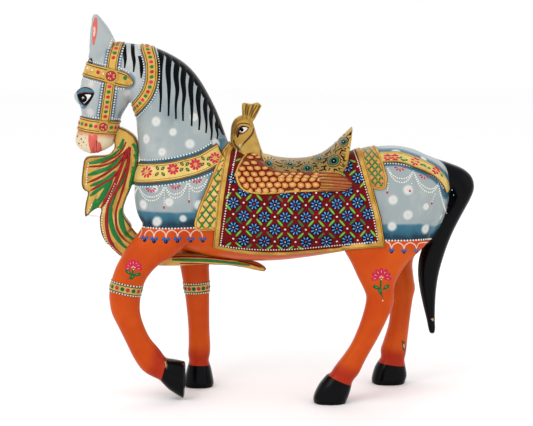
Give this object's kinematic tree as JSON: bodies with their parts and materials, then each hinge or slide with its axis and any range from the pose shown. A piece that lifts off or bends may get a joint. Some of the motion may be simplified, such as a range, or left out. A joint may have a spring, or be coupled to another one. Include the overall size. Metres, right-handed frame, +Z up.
{
  "type": "carved wooden horse statue",
  "caption": "Carved and painted wooden horse with a peacock-shaped saddle, saddle cloth, bridle and sash, one foreleg curled.",
  "frame": {"origin": "bottom centre of the statue's box, on the ground", "axes": "+Z up; the horse faces -X and its near (left) side is towards -Y"},
  "size_m": [0.3952, 0.1158, 0.3782],
  "materials": {
    "painted_wood": "hand-painted, satin varnish over carved wood"
  },
  "bodies": {
    "root": {"carved_horse": "painted_wood"}
  },
  "joints": []
}
